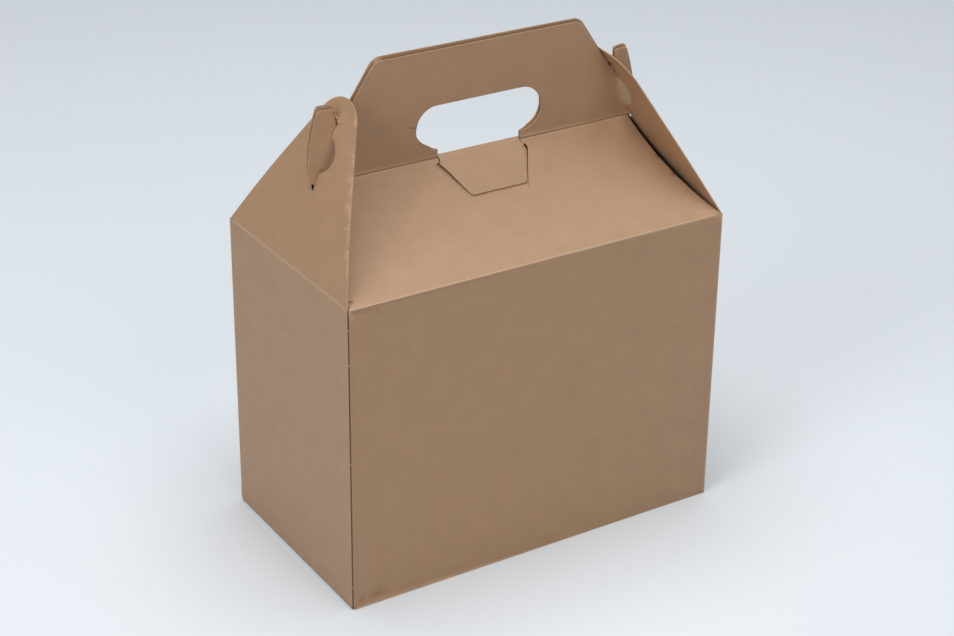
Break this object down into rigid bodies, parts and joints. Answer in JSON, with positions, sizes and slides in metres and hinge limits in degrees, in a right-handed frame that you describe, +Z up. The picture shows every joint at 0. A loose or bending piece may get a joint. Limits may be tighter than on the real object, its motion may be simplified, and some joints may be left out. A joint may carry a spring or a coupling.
{
  "type": "gable box",
  "caption": "Folded kraft board carry box with pitched roof panels, a layered handle with a hand hole, hooked end flaps and a hinged lock tab.",
  "frame": {"origin": "middle of the footprint, on the ground", "axes": "+X along the front, -Y out of the front wall (the side that the lock tab folds over), +Z up"},
  "size_m": [0.225, 0.127, 0.2675],
  "materials": {
    "kraft_board": "matt uncoated natural kraft board"
  },
  "bodies": {
    "box": {"carton": "kraft_board"},
    "tab": {"lock_tab": "kraft_board"}
  },
  "joints": [
    {"name": "lock_tab_crease", "type": "hinge", "parent": "box", "child": "tab", "pos_m": [0, 0.0005, 0.2105], "axis": [-1, 0, 0], "range_deg": [0, 120]}
  ]
}
